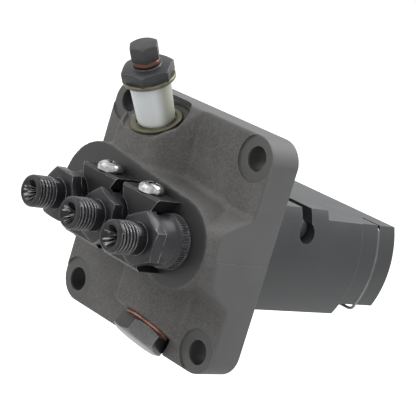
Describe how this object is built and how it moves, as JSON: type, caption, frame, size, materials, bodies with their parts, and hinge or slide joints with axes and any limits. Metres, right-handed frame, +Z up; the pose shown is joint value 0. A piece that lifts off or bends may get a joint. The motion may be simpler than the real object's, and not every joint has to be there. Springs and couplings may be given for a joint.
{
  "type": "inline diesel injection pump",
  "caption": "Compact inline fuel injection pump on a square engine flange, with outlet valve holders, a rack that turns the plungers and sprung roller tappets.",
  "frame": {"origin": "centre of the square of bolt holes, on the flange's mounting face", "axes": "+Y from the mounting face into the engine along the plungers, +Z up towards the fuel inlet, +X along the row of cylinders"},
  "size_m": [0.092, 0.1417, 0.1143],
  "materials": {
    "body_cast_iron": "grained casting, phosphated dark grey",
    "holder_black_steel": "black oxide, satin",
    "plate_black_steel": "black oxide, worn edges",
    "inlet_black_steel": "black oxide, worn edges",
    "bleed_black_steel": "black oxide",
    "plug_black_steel": "black oxide, worn edges",
    "bright_screw": "bright zinc",
    "zinc_washer": "yellow passivated zinc",
    "copper_washer": "copper, matte",
    "white_spacer": "milky translucent plastic",
    "spring_wire": "dark spring wire",
    "guide_pin_steel": "satin steel",
    "rack_steel": "ground steel",
    "seal_rubber": "nitrile rubber",
    "gasket_aluminium": "soft aluminium",
    "ground_steel": "ground and lapped",
    "sleeve_steel": "satin steel",
    "tappet_steel": "hardened steel",
    "coil_spring_steel": "spring steel"
  },
  "bodies": {
    "housing": {"pump_body": "body_cast_iron", "valve_holder_1": "holder_black_steel", "valve_holder_2": "holder_black_steel", "valve_holder_3": "holder_black_steel", "lock_plate_upper_1": "plate_black_steel", "lock_plate_upper_2": "plate_black_steel", "lock_plate_lower_1": "plate_black_steel", "lock_plate_lower_2": "plate_black_steel", "inlet_hollow_screw": "inlet_black_steel", "bleed_screw": "bleed_black_steel", "gallery_plug": "plug_black_steel", "lock_screws": "bright_screw", "inlet_washer_lower": "zinc_washer", "inlet_washer_upper": "zinc_washer", "bleed_washer": "copper_washer", "gallery_plug_washer": "copper_washer", "inlet_spacer": "white_spacer", "retaining_wire": "spring_wire", "tappet_guide_pins": "guide_pin_steel", "barrel_locating_pins": "guide_pin_steel", "holder_seal_rings": "seal_rubber", "valve_seat_gaskets": "gasket_aluminium", "delivery_valve_seat_1": "ground_steel", "plunger_barrel_1": "ground_steel", "delivery_valve_seat_2": "ground_steel", "plunger_barrel_2": "ground_steel", "delivery_valve_seat_3": "ground_steel", "plunger_barrel_3": "ground_steel", "upper_spring_seat_1": "sleeve_steel", "upper_spring_seat_2": "sleeve_steel", "upper_spring_seat_3": "sleeve_steel", "plunger_spring_1": "coil_spring_steel", "delivery_valve_spring_1": "coil_spring_steel", "plunger_spring_2": "coil_spring_steel", "delivery_valve_spring_2": "coil_spring_steel", "plunger_spring_3": "coil_spring_steel", "delivery_valve_spring_3": "coil_spring_steel"},
    "rack": {"control_rack": "rack_steel", "rack_link_pin": "rack_steel"},
    "sleeve_1": {"control_sleeve_1": "sleeve_steel"},
    "tappet_body_1": {"tappet_1": "tappet_steel", "roller_pin_1": "ground_steel", "lower_spring_seat_1": "sleeve_steel"},
    "roller_body_1": {"roller_1": "ground_steel"},
    "plunger_body_1": {"plunger_1": "ground_steel"},
    "valve_body_1": {"delivery_valve_1": "ground_steel"},
    "sleeve_2": {"control_sleeve_2": "sleeve_steel"},
    "tappet_body_2": {"tappet_2": "tappet_steel", "roller_pin_2": "ground_steel", "lower_spring_seat_2": "sleeve_steel"},
    "roller_body_2": {"roller_2": "ground_steel"},
    "plunger_body_2": {"plunger_2": "ground_steel"},
    "valve_body_2": {"delivery_valve_2": "ground_steel"},
    "sleeve_3": {"control_sleeve_3": "sleeve_steel"},
    "tappet_body_3": {"tappet_3": "tappet_steel", "roller_pin_3": "ground_steel", "lower_spring_seat_3": "sleeve_steel"},
    "roller_body_3": {"roller_3": "ground_steel"},
    "plunger_body_3": {"plunger_3": "ground_steel"},
    "valve_body_3": {"delivery_valve_3": "ground_steel"}
  },
  "joints": [
    {"name": "rack_slide", "type": "slide", "parent": "housing", "child": "rack", "axis": [1, 0, 0], "range_m": [-0.006, 0.006]},
    {"name": "sleeve_turn_1", "type": "hinge", "parent": "housing", "child": "sleeve_1", "pos_m": [-0.0247, 0.0229, 0], "axis": [0, 1, 0], "range_deg": [-38, 38]},
    {"name": "tappet_slide_1", "type": "slide", "parent": "housing", "child": "tappet_body_1", "axis": [0, -1, 0], "range_m": [0, 0.008], "stiffness_N_per_m": 2500, "springref_m": -0.008, "deforming": ["plunger_spring_1"]},
    {"name": "roller_spin_1", "type": "hinge", "parent": "tappet_body_1", "child": "roller_body_1", "pos_m": [-0.0247, 0.074, 0], "axis": [1, 0, 0], "continuous": true},
    {"name": "plunger_turn_1", "type": "hinge", "parent": "tappet_body_1", "child": "plunger_body_1", "pos_m": [-0.0247, 0.0382, 0], "axis": [0, 1, 0], "range_deg": [-38, 38]},
    {"name": "valve_lift_1", "type": "slide", "parent": "housing", "child": "valve_body_1", "axis": [0, -1, 0], "range_m": [0, 0.0025], "stiffness_N_per_m": 200, "springref_m": -0.003, "deforming": ["delivery_valve_spring_1"]},
    {"name": "sleeve_turn_2", "type": "hinge", "parent": "housing", "child": "sleeve_2", "pos_m": [0, 0.0229, 0], "axis": [0, 1, 0], "range_deg": [-38, 38]},
    {"name": "tappet_slide_2", "type": "slide", "parent": "housing", "child": "tappet_body_2", "axis": [0, -1, 0], "range_m": [0, 0.008], "stiffness_N_per_m": 2500, "springref_m": -0.008, "deforming": ["plunger_spring_2"]},
    {"name": "roller_spin_2", "type": "hinge", "parent": "tappet_body_2", "child": "roller_body_2", "pos_m": [0, 0.074, 0], "axis": [1, 0, 0], "continuous": true},
    {"name": "plunger_turn_2", "type": "hinge", "parent": "tappet_body_2", "child": "plunger_body_2", "pos_m": [0, 0.0382, 0], "axis": [0, 1, 0], "range_deg": [-38, 38]},
    {"name": "valve_lift_2", "type": "slide", "parent": "housing", "child": "valve_body_2", "axis": [0, -1, 0], "range_m": [0, 0.0025], "stiffness_N_per_m": 200, "springref_m": -0.003, "deforming": ["delivery_valve_spring_2"]},
    {"name": "sleeve_turn_3", "type": "hinge", "parent": "housing", "child": "sleeve_3", "pos_m": [0.0247, 0.0229, 0], "axis": [0, 1, 0], "range_deg": [-38, 38]},
    {"name": "tappet_slide_3", "type": "slide", "parent": "housing", "child": "tappet_body_3", "axis": [0, -1, 0], "range_m": [0, 0.008], "stiffness_N_per_m": 2500, "springref_m": -0.008, "deforming": ["plunger_spring_3"]},
    {"name": "roller_spin_3", "type": "hinge", "parent": "tappet_body_3", "child": "roller_body_3", "pos_m": [0.0247, 0.074, 0], "axis": [1, 0, 0], "continuous": true},
    {"name": "plunger_turn_3", "type": "hinge", "parent": "tappet_body_3", "child": "plunger_body_3", "pos_m": [0.0247, 0.0382, 0], "axis": [0, 1, 0], "range_deg": [-38, 38]},
    {"name": "valve_lift_3", "type": "slide", "parent": "housing", "child": "valve_body_3", "axis": [0, -1, 0], "range_m": [0, 0.0025], "stiffness_N_per_m": 200, "springref_m": -0.003, "deforming": ["delivery_valve_spring_3"]}
  ],
  "couplings": [
    {"joint": "sleeve_turn_1", "follows": "rack_slide", "rad_per_m": 106.67},
    {"joint": "plunger_turn_1", "follows": "rack_slide", "rad_per_m": 106.67},
    {"joint": "sleeve_turn_2", "follows": "rack_slide", "rad_per_m": 106.67},
    {"joint": "plunger_turn_2", "follows": "rack_slide", "rad_per_m": 106.67},
    {"joint": "sleeve_turn_3", "follows": "rack_slide", "rad_per_m": 106.67},
    {"joint": "plunger_turn_3", "follows": "rack_slide", "rad_per_m": 106.67}
  ]
}
